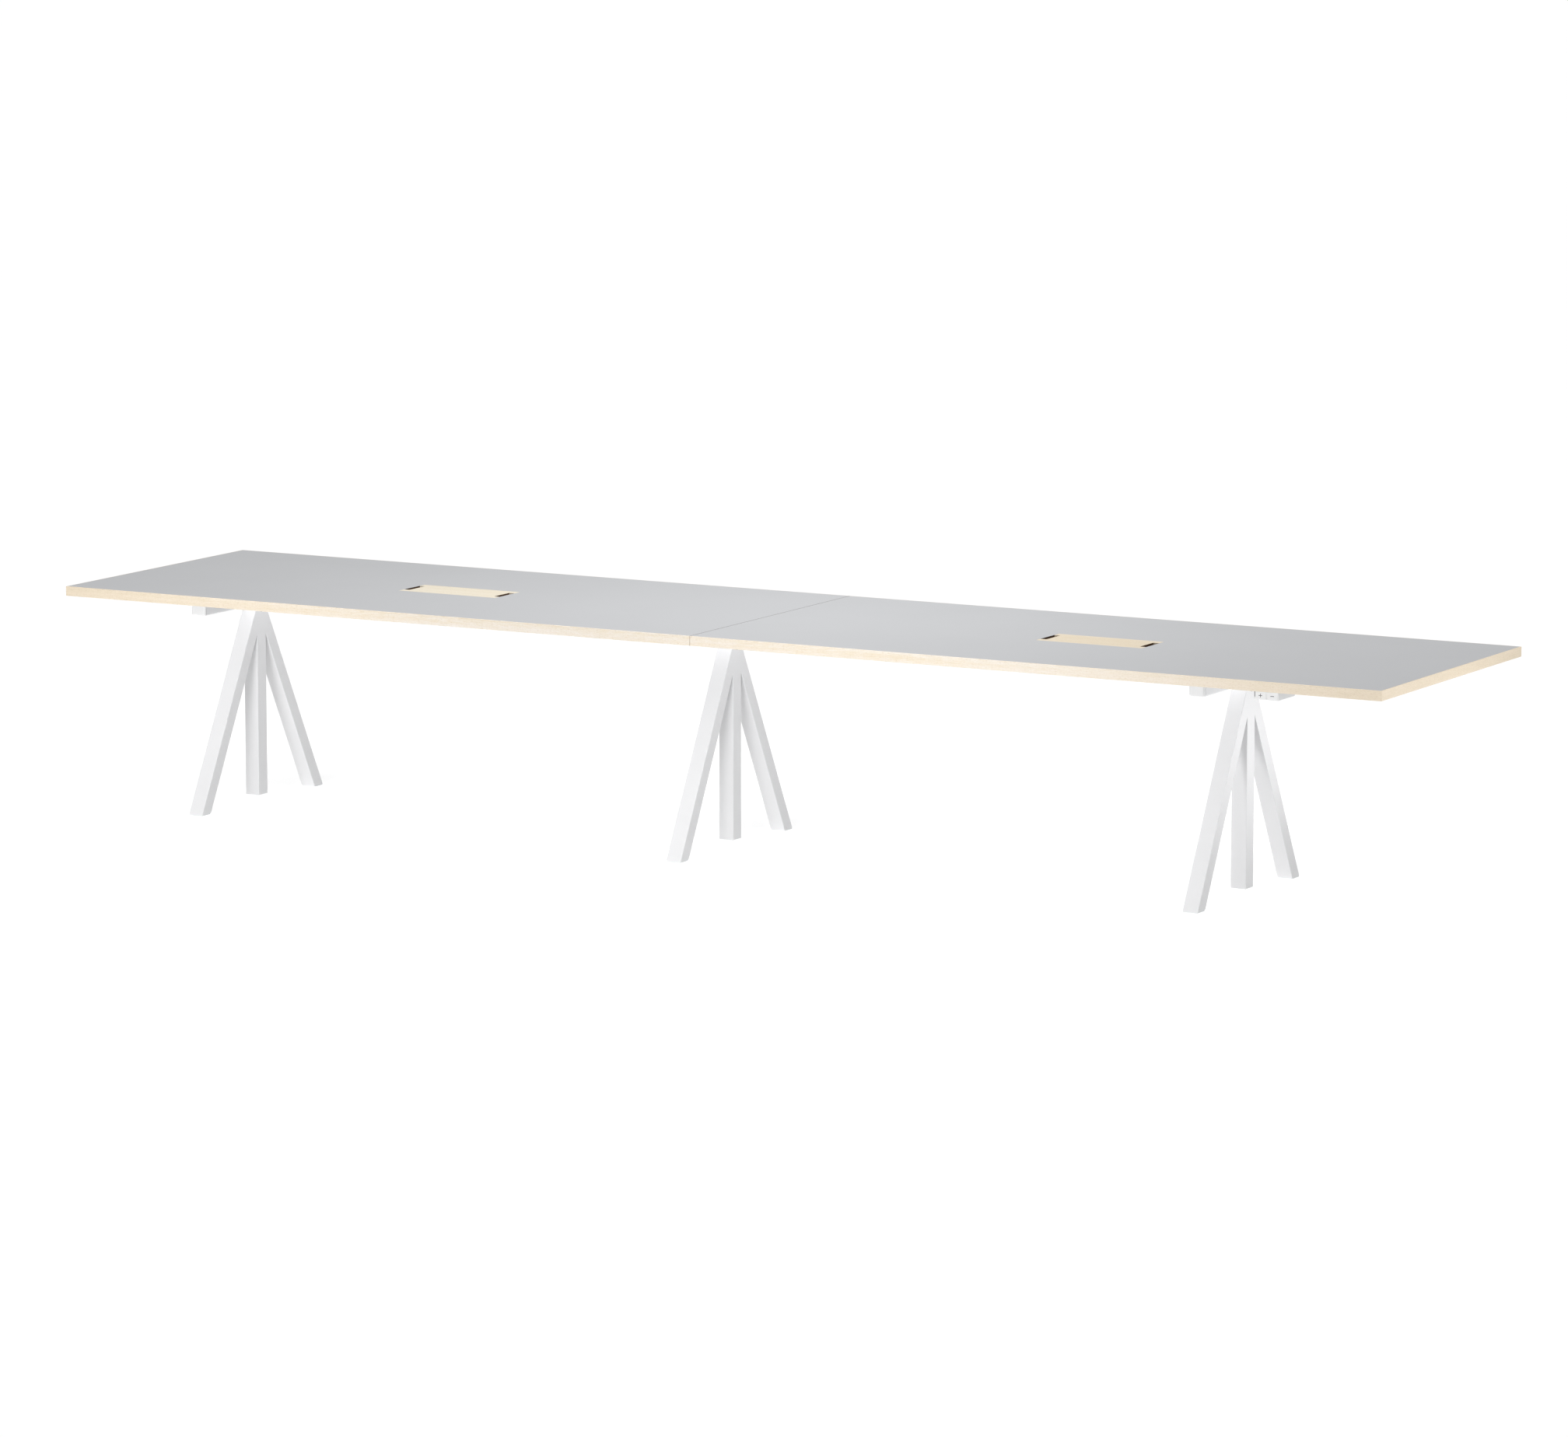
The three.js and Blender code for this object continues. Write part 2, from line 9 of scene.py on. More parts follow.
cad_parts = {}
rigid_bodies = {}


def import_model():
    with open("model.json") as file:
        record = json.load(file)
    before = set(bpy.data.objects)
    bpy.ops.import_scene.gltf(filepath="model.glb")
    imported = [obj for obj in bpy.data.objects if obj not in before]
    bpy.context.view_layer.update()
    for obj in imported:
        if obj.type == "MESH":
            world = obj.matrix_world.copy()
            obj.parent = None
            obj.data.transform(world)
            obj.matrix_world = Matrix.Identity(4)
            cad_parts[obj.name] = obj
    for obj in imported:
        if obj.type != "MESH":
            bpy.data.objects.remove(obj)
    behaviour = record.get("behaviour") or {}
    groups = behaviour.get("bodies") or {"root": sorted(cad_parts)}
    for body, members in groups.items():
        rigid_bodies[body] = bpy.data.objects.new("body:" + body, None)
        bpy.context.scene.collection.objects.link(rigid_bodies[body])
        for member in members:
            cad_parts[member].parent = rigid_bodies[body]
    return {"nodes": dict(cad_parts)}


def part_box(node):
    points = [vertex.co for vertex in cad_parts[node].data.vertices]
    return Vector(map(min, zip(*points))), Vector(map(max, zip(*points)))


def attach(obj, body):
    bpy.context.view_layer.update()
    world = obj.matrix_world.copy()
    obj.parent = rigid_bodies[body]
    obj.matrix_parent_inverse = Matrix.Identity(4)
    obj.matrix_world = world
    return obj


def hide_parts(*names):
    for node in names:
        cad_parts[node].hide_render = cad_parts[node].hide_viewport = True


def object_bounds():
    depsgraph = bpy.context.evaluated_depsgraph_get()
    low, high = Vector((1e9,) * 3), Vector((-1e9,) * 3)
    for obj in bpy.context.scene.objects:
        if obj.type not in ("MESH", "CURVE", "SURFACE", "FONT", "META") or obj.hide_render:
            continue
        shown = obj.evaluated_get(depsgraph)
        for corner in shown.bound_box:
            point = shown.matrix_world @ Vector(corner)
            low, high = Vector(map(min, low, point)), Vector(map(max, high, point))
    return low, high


# The imported model is the frame that every piece is fitted to. Blender's own starting objects go first,
# and the model's box is kept, which gives the table's outer corners.
bpy.ops.object.select_all(action="SELECT")
bpy.ops.object.delete()
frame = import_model()
cad_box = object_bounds()

# The studio: a camera with a very long lens, far off to the front right and a little above the top,
# as the photograph has it, over a wide white floor. Nothing here belongs to the table.
PHOTO_WIDTH_PIXELS = 2016
FOCAL_LENGTH_PIXELS = 9000
SENSOR_WIDTH_MM = 36
CAMERA_PLACE = (10.2603, -18.3821, 3.6837)
CAMERA_DIP = math.radians(8.857)
CAMERA_TURN = math.radians(29.066)
FLOOR_SIZE = 400
FLOOR_WHITE = "#FCFCFC"
SKY_STRENGTH = 0.35

scene = bpy.context.scene
scene.view_settings.view_transform = "Standard"
bpy.ops.object.camera_add(location=CAMERA_PLACE, rotation=(math.pi / 2 - CAMERA_DIP, 0, CAMERA_TURN))
scene.camera = bpy.context.object
scene.camera.data.sensor_fit = "HORIZONTAL"
scene.camera.data.sensor_width = SENSOR_WIDTH_MM
scene.camera.data.lens = SENSOR_WIDTH_MM * FOCAL_LENGTH_PIXELS / PHOTO_WIDTH_PIXELS
scene.camera.data.clip_end = FLOOR_SIZE


def linear(colour):
    """Linear light, as shaders take it, from a colour written as sRGB hex."""
    shares = [int(colour[i:i + 2], 16) / 255 for i in (1, 3, 5)]
    return [s / 12.92 if s <= 0.04045 else ((s + 0.055) / 1.055) ** 2.4 for s in shares] + [1]


def add_node(tree, kind, inputs, **settings):
    """A shader node with its settings, and each input given a value or linked to a socket."""
    made = tree.nodes.new(kind)
    for name, value in settings.items():
        setattr(made, name, value)
    for socket, value in inputs.items():
        if isinstance(value, bpy.types.NodeSocket):
            tree.links.new(value, made.inputs[socket])
        else:
            made.inputs[socket].default_value = value
    return made


def new_material(name, **shader_values):
    """A material whose shader has these constant values, with its tree and shader for the rest."""
    made = bpy.data.materials.new(name)
    made.use_nodes = True
    shader = made.node_tree.nodes["Principled BSDF"]
    for socket, value in shader_values.items():
        shader.inputs[socket.replace("_", " ")].default_value = value
    return made, made.node_tree, shader


floor_paper, _, _ = new_material(
    "white paper sweep", Base_Color=linear(FLOOR_WHITE), Roughness=1, Specular_IOR_Level=0)
bpy.ops.mesh.primitive_plane_add(size=FLOOR_SIZE)
floor = bpy.context.object
floor.name = "floor"
floor.data.materials.append(floor_paper)

# The air lights the table dimly from all round, and is white where the camera sees past the floor.
scene.world = bpy.data.worlds.new("studio air")
scene.world.use_nodes = True
air = scene.world.node_tree
dim = add_node(air, "ShaderNodeBackground", {"Color": (1, 1, 1, 1), "Strength": SKY_STRENGTH})
white = add_node(air, "ShaderNodeBackground", {"Color": (1, 1, 1, 1), "Strength": 1})
seen = add_node(air, "ShaderNodeLightPath", {}).outputs["Is Camera Ray"]
seen_or_not = add_node(air, "ShaderNodeMixShader", {0: seen, 1: dim.outputs[0], 2: white.outputs[0]})
air.links.new(seen_or_not.outputs[0], air.nodes["World Output"].inputs["Surface"])


def add_lamp(kind, name, place, aim, energy, **settings):
    """A light that shines from a place towards a point and that the camera doesn't see."""
    bpy.ops.object.light_add(type=kind, location=place)
    lamp = bpy.context.object
    lamp.name = name
    lamp.rotation_euler = (Vector(aim) - Vector(place)).to_track_quat("-Z", "Y").to_euler()
    lamp.data.energy = energy
    for setting, value in settings.items():
        setattr(lamp.data, setting, value)
    lamp.visible_camera = False


# An even light from above without shadows keeps the floor white under the table too, and one above the
# middle brightens the top there. Each trestle has its own soft light from the front, two of them from the
# right and the last from the left, and two more lift the right end and the sides of the right trestle.
SUN_ANGLE = math.radians(20)
NARROW_SPREAD = math.radians(40)
TRESTLE_LIGHT = {"shape": "RECTANGLE", "size": 1.4, "size_y": 0.8, "spread": NARROW_SPREAD}
add_lamp("SUN", "overhead_light", (0, 0, 6), (0, 0, 0), 2.15, angle=SUN_ANGLE, use_shadow=False)
add_lamp("AREA", "top_light", (0, 0.1, 2.75), (0, 0.1, 0.7), 20,
         shape="RECTANGLE", size=1.2, size_y=0.8)
add_lamp("AREA", "left_trestle_light", (-0.95, -4.2, 0.8), (-1.875, 0, 0.45), 4.5, **TRESTLE_LIGHT)
add_lamp("AREA", "middle_trestle_light", (0.85, -4.2, 0.8), (-0.145, 0, 0.1), 4.2, **TRESTLE_LIGHT)
add_lamp("AREA", "right_trestle_light", (-0.5, -4.2, 0.8), (1.75, 0, 0.3), 3.9, **TRESTLE_LIGHT)
add_lamp("AREA", "end_light", (2.75, -0.15, 0.69), (2, -0.15, 0.69), 1.9,
         shape="RECTANGLE", size=1.4, size_y=0.1)
add_lamp("AREA", "side_light", (3, 0.35, 0.2), (1.6, 0, 0.5), 0.55,
         shape="RECTANGLE", size=0.4, size_y=0.2, spread=NARROW_SPREAD)

# Splayed legs: rectangular steel tube with small corner radii, mitred at the top, welded to the column,
# ground flush and powder-coated white. The rear leg is the front leg turned half round.
LEG_THICKNESS = 0.044
TUBE_WALL = 0.0025
TUBE_CORNER = 0.002
TUBE_CORNER_STEPS = 4
LEG_BORE_DEPTH = 0.03
LEG_SPARE_LENGTH = 0.176
COAT_WHITE = "#DFDFE0"
COAT_SHADE = "#DADADB"
COAT_CLOUD = 0.12
ORANGE_PEEL = 0.0018
ORANGE_PEEL_DEPTH = 0.0001
ALONG = Vector((1, 0, 0))
ACROSS = Vector((0, 1, 0))
UP = Vector((0, 0, 1))
PARALLEL = 0.999
SQUARE_ON = 0.99
SMOOTH_UP_TO = math.radians(40)


def add_block(name, low, high, turn=0):
    """A block between two corners, turned about X on its middle, with its place in its mesh."""
    bpy.ops.object.select_all(action="DESELECT")
    bpy.ops.mesh.primitive_cube_add(size=1, location=(Vector(low) + Vector(high)) / 2, rotation=(turn, 0, 0))
    made = bpy.context.object
    made.name = name
    made.scale = Vector(high) - Vector(low)
    bpy.ops.object.transform_apply(location=True, rotation=True, scale=True)
    return made


def select(piece, kind, test):
    """Opens a piece in edit mode with just the faces or edges selected that pass a test."""
    bpy.ops.object.select_all(action="DESELECT")
    piece.select_set(True)
    bpy.context.view_layer.objects.active = piece
    bpy.ops.object.mode_set(mode="EDIT")
    bpy.ops.mesh.select_mode(type=kind)
    bpy.ops.mesh.select_all(action="DESELECT")
    mesh = bmesh.from_edit_mesh(piece.data)
    for part in mesh.faces if kind == "FACE" else mesh.edges:
        if test(part):
            part.select_set(True)
    bmesh.update_edit_mesh(piece.data)


def runs_along(edge, direction):
    """Whether an edge runs along a direction."""
    run = edge.verts[1].co - edge.verts[0].co
    return abs(run.normalized().dot(direction)) > PARALLEL


def points(face, direction):
    """Whether a face points straight in a direction."""
    return face.normal.dot(direction) > SQUARE_ON


def middle(part):
    """The middle of an edge or a face."""
    return sum((corner.co for corner in part.verts), Vector()) / len(part.verts)


def round_selected(width, segments):
    """Rounds the selected edges and leaves edit mode."""
    bpy.ops.mesh.bevel(offset=width, segments=segments, affect="EDGES")
    bpy.ops.object.mode_set(mode="OBJECT")


def finish_shading(piece):
    """Shades rounded edges smooth and keeps broad faces flat."""
    bpy.ops.object.select_all(action="DESELECT")
    piece.select_set(True)
    bpy.context.view_layer.objects.active = piece
    bpy.ops.object.shade_smooth_by_angle(angle=SMOOTH_UP_TO)
    weighted = piece.modifiers.new("flat faces", "WEIGHTED_NORMAL")
    weighted.keep_sharp = True
    bpy.ops.object.modifier_apply(modifier=weighted.name)


def copy_of(piece, name, move):
    """A copy with its own mesh, moved or turned inside that mesh, so that its object stays at the origin."""
    made = piece.copy()
    made.data = piece.data.copy()
    made.name = name
    made.data.transform(move)
    scene.collection.objects.link(made)
    return made


def settle(piece, body, slot, *nodes):
    """Rides a finished piece on its body and hides the nodes that it stands for. Its slot is not used."""
    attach(piece, body)
    if nodes:
        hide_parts(*nodes)


def column_centre(side):
    """The point on the floor under a trestle's column."""
    low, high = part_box(f"column_tube_{side}")
    return Vector(((low.x + high.x) / 2, (low.y + high.y) / 2, 0))


def move_to(side, turn=0):
    """The move that takes a piece from the left trestle to another, turned about the column."""
    there = Matrix.Translation(column_centre(side))
    return there @ Matrix.Rotation(turn, 4, "Z") @ Matrix.Translation(-column_centre("left"))


# White polyester powder coat, sprayed and baked: a satin film with faint orange peel, which breaks up
# highlights, and hardly any change of tone. The peel is drawn at its real 1.8 mm.
powder_coat, coat_tree, coat_shader = new_material("white powder coat", Roughness=0.42, IOR=1.5)
coat_place = add_node(coat_tree, "ShaderNodeTexCoord", {}).outputs["Object"]
coat_cloud = add_node(coat_tree, "ShaderNodeTexNoise", {"Vector": coat_place, "Scale": 1 / COAT_CLOUD})
coat_tone = add_node(coat_tree, "ShaderNodeMix", {
    0: coat_cloud.outputs["Fac"], 6: linear(COAT_WHITE), 7: linear(COAT_SHADE)}, data_type="RGBA")
coat_tree.links.new(coat_tone.outputs[2], coat_shader.inputs["Base Color"])
coat_peel = add_node(coat_tree, "ShaderNodeTexNoise", {"Vector": coat_place, "Scale": 1 / ORANGE_PEEL})
coat_bump = add_node(coat_tree, "ShaderNodeBump", {
    "Height": coat_peel.outputs["Fac"], "Strength": 0.2, "Distance": ORANGE_PEEL_DEPTH})
coat_tree.links.new(coat_bump.outputs[0], coat_shader.inputs["Normal"])

leg_low, leg_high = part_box("front_leg_left")
splay = math.atan2(leg_high.y - leg_low.y, leg_high.z - leg_low.z)
up_the_leg = Vector((0, math.sin(splay), math.cos(splay)))
out_of_the_leg = Vector((0, -math.cos(splay), math.sin(splay)))
outer_face_middle = (leg_low + leg_high) / 2
leg_middle = outer_face_middle - out_of_the_leg * LEG_THICKNESS / 2
leg_length = (leg_high.z - leg_low.z) / math.cos(splay) + LEG_SPARE_LENGTH
leg_half = Vector((leg_high.x - leg_low.x, LEG_THICKNESS, leg_length)) / 2
leg = add_block("leg", leg_middle - leg_half, leg_middle + leg_half, -splay)
select(leg, "FACE", lambda face: True)
bpy.ops.mesh.bisect(plane_co=leg_high, plane_no=ACROSS, use_fill=True, clear_outer=True)
bpy.ops.mesh.select_all(action="SELECT")
bpy.ops.mesh.bisect(plane_co=leg_low, plane_no=-UP, use_fill=True, clear_outer=True)
bpy.ops.object.mode_set(mode="OBJECT")
select(leg, "EDGE", lambda edge: runs_along(edge, up_the_leg))
round_selected(TUBE_CORNER, TUBE_CORNER_STEPS)
select(leg, "FACE", lambda face: points(face, -UP))
bpy.ops.mesh.inset(thickness=TUBE_WALL)
bpy.ops.mesh.extrude_region_move(TRANSFORM_OT_translate={"value": up_the_leg * LEG_BORE_DEPTH})
bpy.ops.object.mode_set(mode="OBJECT")
finish_shading(leg)
leg.data.materials.append(powder_coat)
trestles = ("left", "middle", "right")
ends = (("front", 0), ("rear", math.pi))
for side in trestles:
    for end, turn in ends:
        turned = copy_of(leg, f"leg_tube_{end}_{side}", move_to(side, turn))
        settle(turned, "base", "white_steel", f"{end}_leg_{side}")
bpy.data.objects.remove(leg)

# Column tubes: square steel tube with a welded floor plate, which stops short of the floor. The sides
# run flush into the legs at the head, so the corners are rounded only below the crotch of the legs, and
# the small facets that end the rounding there stay sharp.
COLUMN_FLOOR_PLATE = 0.0025
column_low, column_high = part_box("column_tube_left")
crotch_height = leg_high.z - LEG_THICKNESS / math.sin(splay)


def ends_the_rounding(edge):
    """Whether an edge belongs to the small facets where the rounded corners end, just above the crotch."""
    return abs(middle(edge).z - crotch_height - TUBE_CORNER / 2) < TUBE_CORNER / 4


column = add_block("column", column_low, column_high)
select(column, "FACE", lambda face: True)
bpy.ops.mesh.bisect(plane_co=(0, 0, crotch_height), plane_no=UP)
bpy.ops.object.mode_set(mode="OBJECT")
select(column, "EDGE", lambda edge: middle(edge).z < crotch_height - TUBE_CORNER)
round_selected(TUBE_CORNER, TUBE_CORNER_STEPS)
select(column, "EDGE", ends_the_rounding)
bpy.ops.mesh.mark_sharp()
bpy.ops.object.mode_set(mode="OBJECT")
select(column, "FACE", lambda face: points(face, UP))
bpy.ops.mesh.inset(thickness=TUBE_WALL)
bore_drop = column_low.z + COLUMN_FLOOR_PLATE - column_high.z
bpy.ops.mesh.extrude_region_move(TRANSFORM_OT_translate={"value": UP * bore_drop})
bpy.ops.object.mode_set(mode="OBJECT")
finish_shading(column)
column.data.materials.append(powder_coat)
for side in trestles:
    settle(copy_of(column, f"column_{side}", move_to(side)), "base", "white_steel", f"column_tube_{side}")
bpy.data.objects.remove(column)

# Set screws in both sides of each head, which clamp the guide sleeve: black-oxide steel with a socket,
# standing a hair proud of the tube.
SET_SCREW_RADIUS = 0.003
SET_SCREW_BELOW_HEAD = 0.019
SET_SCREW_PROUD = 0.0003
SET_SCREW_LENGTH = 0.002
SET_SCREW_RIM = 0.0012
SET_SCREW_SOCKET = 0.00021
ROUND_STEPS = 24
BLACK_OXIDE = "#2B2B2D"
black_steel, _, _ = new_material("black oxide steel", Base_Color=linear(BLACK_OXIDE), Metallic=0.7,
                                 Roughness=0.5)
bpy.ops.object.select_all(action="DESELECT")
bpy.ops.mesh.primitive_cylinder_add(vertices=ROUND_STEPS, radius=SET_SCREW_RADIUS, depth=SET_SCREW_LENGTH,
                                    rotation=(0, math.pi / 2, 0))
set_screw = bpy.context.object
bpy.ops.object.transform_apply(location=True, rotation=True, scale=True)
select(set_screw, "FACE", lambda face: points(face, ALONG))
bpy.ops.mesh.inset(thickness=SET_SCREW_RIM)
bpy.ops.mesh.extrude_region_move(TRANSFORM_OT_translate={"value": -ALONG * SET_SCREW_SOCKET})
bpy.ops.object.mode_set(mode="OBJECT")
set_screw.data.materials.append(black_steel)
for side in trestles:
    low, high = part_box(f"column_tube_{side}")
    seat = column_centre(side) + UP * (high.z - SET_SCREW_BELOW_HEAD)
    stand = (high.x - low.x) / 2 + SET_SCREW_PROUD - SET_SCREW_LENGTH / 2
    for face, turn in (("outer", 0), ("inner", math.pi)):
        place = Matrix.Translation(seat) @ Matrix.Rotation(turn, 4, "Z") @ Matrix.Translation((stand, 0, 0))
        settle(copy_of(set_screw, f"set_screw_{face}_{side}", place), "base", "bright_steel")
bpy.data.objects.remove(set_screw)

# Foot glides and guide sleeves: moulded polyamide in pale grey, plugged into the legs and columns.
# Their solids have the right shape, so they stay and only get the plastic's faint mould texture.
GLIDE_GREY = "#D9DADB"
MOULD_GRAIN = 0.0012
MOULD_GRAIN_DEPTH = 0.0001


def grained_finish(name, colour, roughness):
    """Plastic from a spark-eroded mould, or textured paint: one colour, a satin sheen, a fine even grain."""
    made, tree, shader = new_material(name, Base_Color=linear(colour), Roughness=roughness, IOR=1.5)
    place = add_node(tree, "ShaderNodeTexCoord", {}).outputs["Object"]
    texture = add_node(tree, "ShaderNodeTexNoise", {"Vector": place, "Scale": 1 / MOULD_GRAIN, "Detail": 3})
    bump = add_node(tree, "ShaderNodeBump", {
        "Height": texture.outputs["Fac"], "Strength": 0.25, "Distance": MOULD_GRAIN_DEPTH})
    tree.links.new(bump.outputs[0], shader.inputs["Normal"])
    return made


def refinish(node, material):
    """Gives a solid of the model that stays in view a better material."""
    solid = frame["nodes"][node]
    solid.data.materials.clear()
    solid.data.materials.append(material)


polyamide = grained_finish("pale grey polyamide", GLIDE_GREY, roughness=0.5)
for side in trestles:
    for node in (f"foot_glide_front_{side}", f"foot_glide_rear_{side}", f"guide_sleeve_{side}"):
        refinish(node, polyamide)

# Lifting gear inside each column: a zinc-plated spindle that turns in a nut on a push tube, driven by a
# gear motor in the arm. None of it shows from outside. Zinc plating is bright, with a faint cloudy spangle.
ZINC = "#C4C7CA"
ZINC_DULL = "#A9ADB1"
ZINC_SPANGLE = 0.006
MOTOR_GREY = "#4A4D52"
zinc_steel, zinc_tree, zinc_shader = new_material("zinc plated steel", Metallic=1, Roughness=0.36)
zinc_place = add_node(zinc_tree, "ShaderNodeTexCoord", {}).outputs["Object"]
zinc_cloud = add_node(zinc_tree, "ShaderNodeTexNoise", {
    "Vector": zinc_place, "Scale": 1 / ZINC_SPANGLE, "Detail": 4})
zinc_tone = add_node(zinc_tree, "ShaderNodeMix", {
    0: zinc_cloud.outputs["Fac"], 6: linear(ZINC), 7: linear(ZINC_DULL)}, data_type="RGBA")
zinc_tree.links.new(zinc_tone.outputs[2], zinc_shader.inputs["Base Color"])
motor_paint = grained_finish("dark grey motor paint", MOTOR_GREY, roughness=0.45)
for side in trestles:
    refinish(f"push_tube_{side}", zinc_steel)
    refinish(f"spindle_{side}", zinc_steel)
    refinish(f"gear_motor_{side}", motor_paint)

# Inner columns: white square tube that slides out of the column as the top rises, with rounded corners
# and an open lower end.
INNER_WALL = 0.002
inner_low, inner_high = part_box("inner_column_left")
inner = add_block("inner", inner_low, inner_high)
select(inner, "EDGE", lambda edge: runs_along(edge, UP))
round_selected(TUBE_CORNER, TUBE_CORNER_STEPS)
select(inner, "FACE", lambda face: points(face, -UP))
bpy.ops.mesh.inset(thickness=INNER_WALL)
inner_bore = inner_high.z - inner_low.z - INNER_WALL
bpy.ops.mesh.extrude_region_move(TRANSFORM_OT_translate={"value": UP * inner_bore})
bpy.ops.object.mode_set(mode="OBJECT")
finish_shading(inner)
inner.data.materials.append(powder_coat)
for side in trestles:
    raised = copy_of(inner, f"lifting_tube_{side}", move_to(side))
    settle(raised, "top", "white_steel", f"inner_column_{side}")
bpy.data.objects.remove(inner)

# Support arms: white rectangular tube with well rounded corners, screwed up under the top. The end arms
# are open tubes, and the short middle arm has welded ends.
ARM_CORNER = 0.006
ARM_CORNER_STEPS = 6
ARM_END_CORNER = 0.001


def arm_tube(side):
    """One support arm, as a rounded tube without its ends or a rounded closed box."""
    low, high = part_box(f"arm_{side}")
    made = add_block(f"support_arm_{side}", low, high)
    select(made, "EDGE", lambda edge: runs_along(edge, ACROSS))
    round_selected(ARM_CORNER, ARM_CORNER_STEPS)
    if side == "middle":
        select(made, "EDGE", lambda edge: not runs_along(edge, ACROSS))
        round_selected(ARM_END_CORNER, 2)
    else:
        select(made, "FACE", lambda face: points(face, ACROSS) or points(face, -ACROSS))
        bpy.ops.mesh.delete(type="FACE")
        bpy.ops.object.mode_set(mode="OBJECT")
        wall = made.modifiers.new("wall", "SOLIDIFY")
        wall.thickness = TUBE_WALL
        bpy.ops.object.modifier_apply(modifier=wall.name)
    finish_shading(made)
    made.data.materials.append(powder_coat)
    return made


for side in trestles:
    settle(arm_tube(side), "top", "white_steel", f"arm_{side}")

# Arm caps: white moulded plugs with a softly rounded front, pressed into both ends of the end arms, with a
# narrow shadow gap between the cap and the tube.
CAP_PLUG_INSET = 0.0028
CAP_JOINT = 0.002
HAIR = 0.0001
PLASTIC_WHITE = "#E2E2E2"
white_plastic = grained_finish("white moulded plastic", PLASTIC_WHITE, roughness=0.4)
arm_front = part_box("arm_left")[0].y
cap_low, cap_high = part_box("arm_cap_front_left")
cap_back = arm_front - CAP_JOINT
cap_plug = cap_high.y - cap_back
cap = add_block("cap", cap_low, (cap_high.x, cap_back, cap_high.z))
select(cap, "EDGE", lambda edge: middle(edge).y < cap_back - HAIR)
round_selected(ARM_CORNER, ARM_CORNER_STEPS)
select(cap, "FACE", lambda face: points(face, ACROSS))
bpy.ops.mesh.inset(thickness=CAP_PLUG_INSET)
bpy.ops.mesh.extrude_region_move(TRANSFORM_OT_translate={"value": ACROSS * cap_plug})
bpy.ops.object.mode_set(mode="OBJECT")
finish_shading(cap)
cap.data.materials.append(white_plastic)
halves = ("left", "right")
for side in halves:
    for end, turn in ends:
        turned = copy_of(cap, f"end_cap_{end}_{side}", move_to(side, turn))
        settle(turned, "top", "white_plastic", f"arm_cap_{end}_{side}")
bpy.data.objects.remove(cap)

# Core boards: the structural board of each half, fibreboard that shows only from below, where a matt grey
# backing laminate with a pressed pearl texture balances the linoleum. The boards all but meet at the seam,
# so that no light shows through it.
BACKING_PALE = "#58595A"
BACKING_DARK = "#4D4E4F"
BACKING_SPECKLE = 0.003
BACKING_PEARL = 0.0025
PEARL_DEPTH = 0.0002
MERGE_DISTANCE = 0.00001
SEAM_REACH = 0.001
SEAM_TOUCH = 0.0001


def speckled_board(name, pale, dark, speckle, pearl):
    """A matt board face: a close speckle of lighter and darker fibres over a faint pressed texture."""
    made, tree, shader = new_material(name, Roughness=0.7, IOR=1.45)
    place = add_node(tree, "ShaderNodeTexCoord", {}).outputs["Object"]
    fibres = add_node(tree, "ShaderNodeTexNoise", {"Vector": place, "Scale": 1 / speckle, "Detail": 5})
    tone = add_node(tree, "ShaderNodeMix", {
        0: fibres.outputs["Fac"], 6: linear(pale), 7: linear(dark)}, data_type="RGBA")
    tree.links.new(tone.outputs[2], shader.inputs["Base Color"])
    texture = add_node(tree, "ShaderNodeTexNoise", {"Vector": place, "Scale": 1 / pearl})
    bump = add_node(tree, "ShaderNodeBump", {
        "Height": texture.outputs["Fac"], "Strength": 0.2, "Distance": PEARL_DEPTH})
    tree.links.new(bump.outputs[0], shader.inputs["Normal"])
    return made


backing_laminate = speckled_board(
    "grey backing laminate", BACKING_PALE, BACKING_DARK, BACKING_SPECKLE, BACKING_PEARL)
for side in halves:
    board = bpy.data.objects.new(f"core_board_{side}", frame["nodes"][f"top_board_{side}"].data.copy())
    scene.collection.objects.link(board)
    select(board, "FACE", lambda face: True)
    bpy.ops.mesh.remove_doubles(threshold=MERGE_DISTANCE)
    bpy.ops.object.mode_set(mode="OBJECT")
    for corner in board.data.vertices:
        if abs(corner.co.x) < SEAM_REACH:
            corner.co.x = math.copysign(SEAM_TOUCH, corner.co.x)
    board.data.materials.clear()
    board.data.materials.append(backing_laminate)
    settle(board, "top", "core_board", f"top_board_{side}")

# Linoleum: a 2 mm sheet of grey furniture linoleum glued on each board, cut flush with the lippings and
# round the hatch, with its free edges eased. It is satin, with a faint mottle from the cork and wood flour.
# Its cut edges are painted dark as shade, and so are the eased ones at the seam, which draw the line across
# the top.
LINOLEUM_EDGE = 0.0004
LID_GAP = 0.0008
SEAM_EDGE_REACH = 0.0016
CUT_EDGE_TILT = 0.1
EDGE_REACH = 0.01
CUT_BEYOND = 0.01
LINOLEUM_LIGHT = "#B9BABC"
LINOLEUM_DARK = "#B2B3B5"
LINOLEUM_MOTTLE = 0.006
LINOLEUM_CLOUD = 0.3
LINOLEUM_GRAIN = 0.002
LINOLEUM_GRAIN_DEPTH = 0.0001
EDGE_SHADE_BROWN = "#3E3128"
linoleum, lino_tree, lino_shader = new_material("grey furniture linoleum", Roughness=0.5, IOR=1.45)
lino_place = add_node(lino_tree, "ShaderNodeTexCoord", {}).outputs["Object"]
lino_mottle = add_node(lino_tree, "ShaderNodeTexNoise", {
    "Vector": lino_place, "Scale": 1 / LINOLEUM_MOTTLE, "Detail": 3})
lino_cloud = add_node(lino_tree, "ShaderNodeTexNoise", {"Vector": lino_place, "Scale": 1 / LINOLEUM_CLOUD})
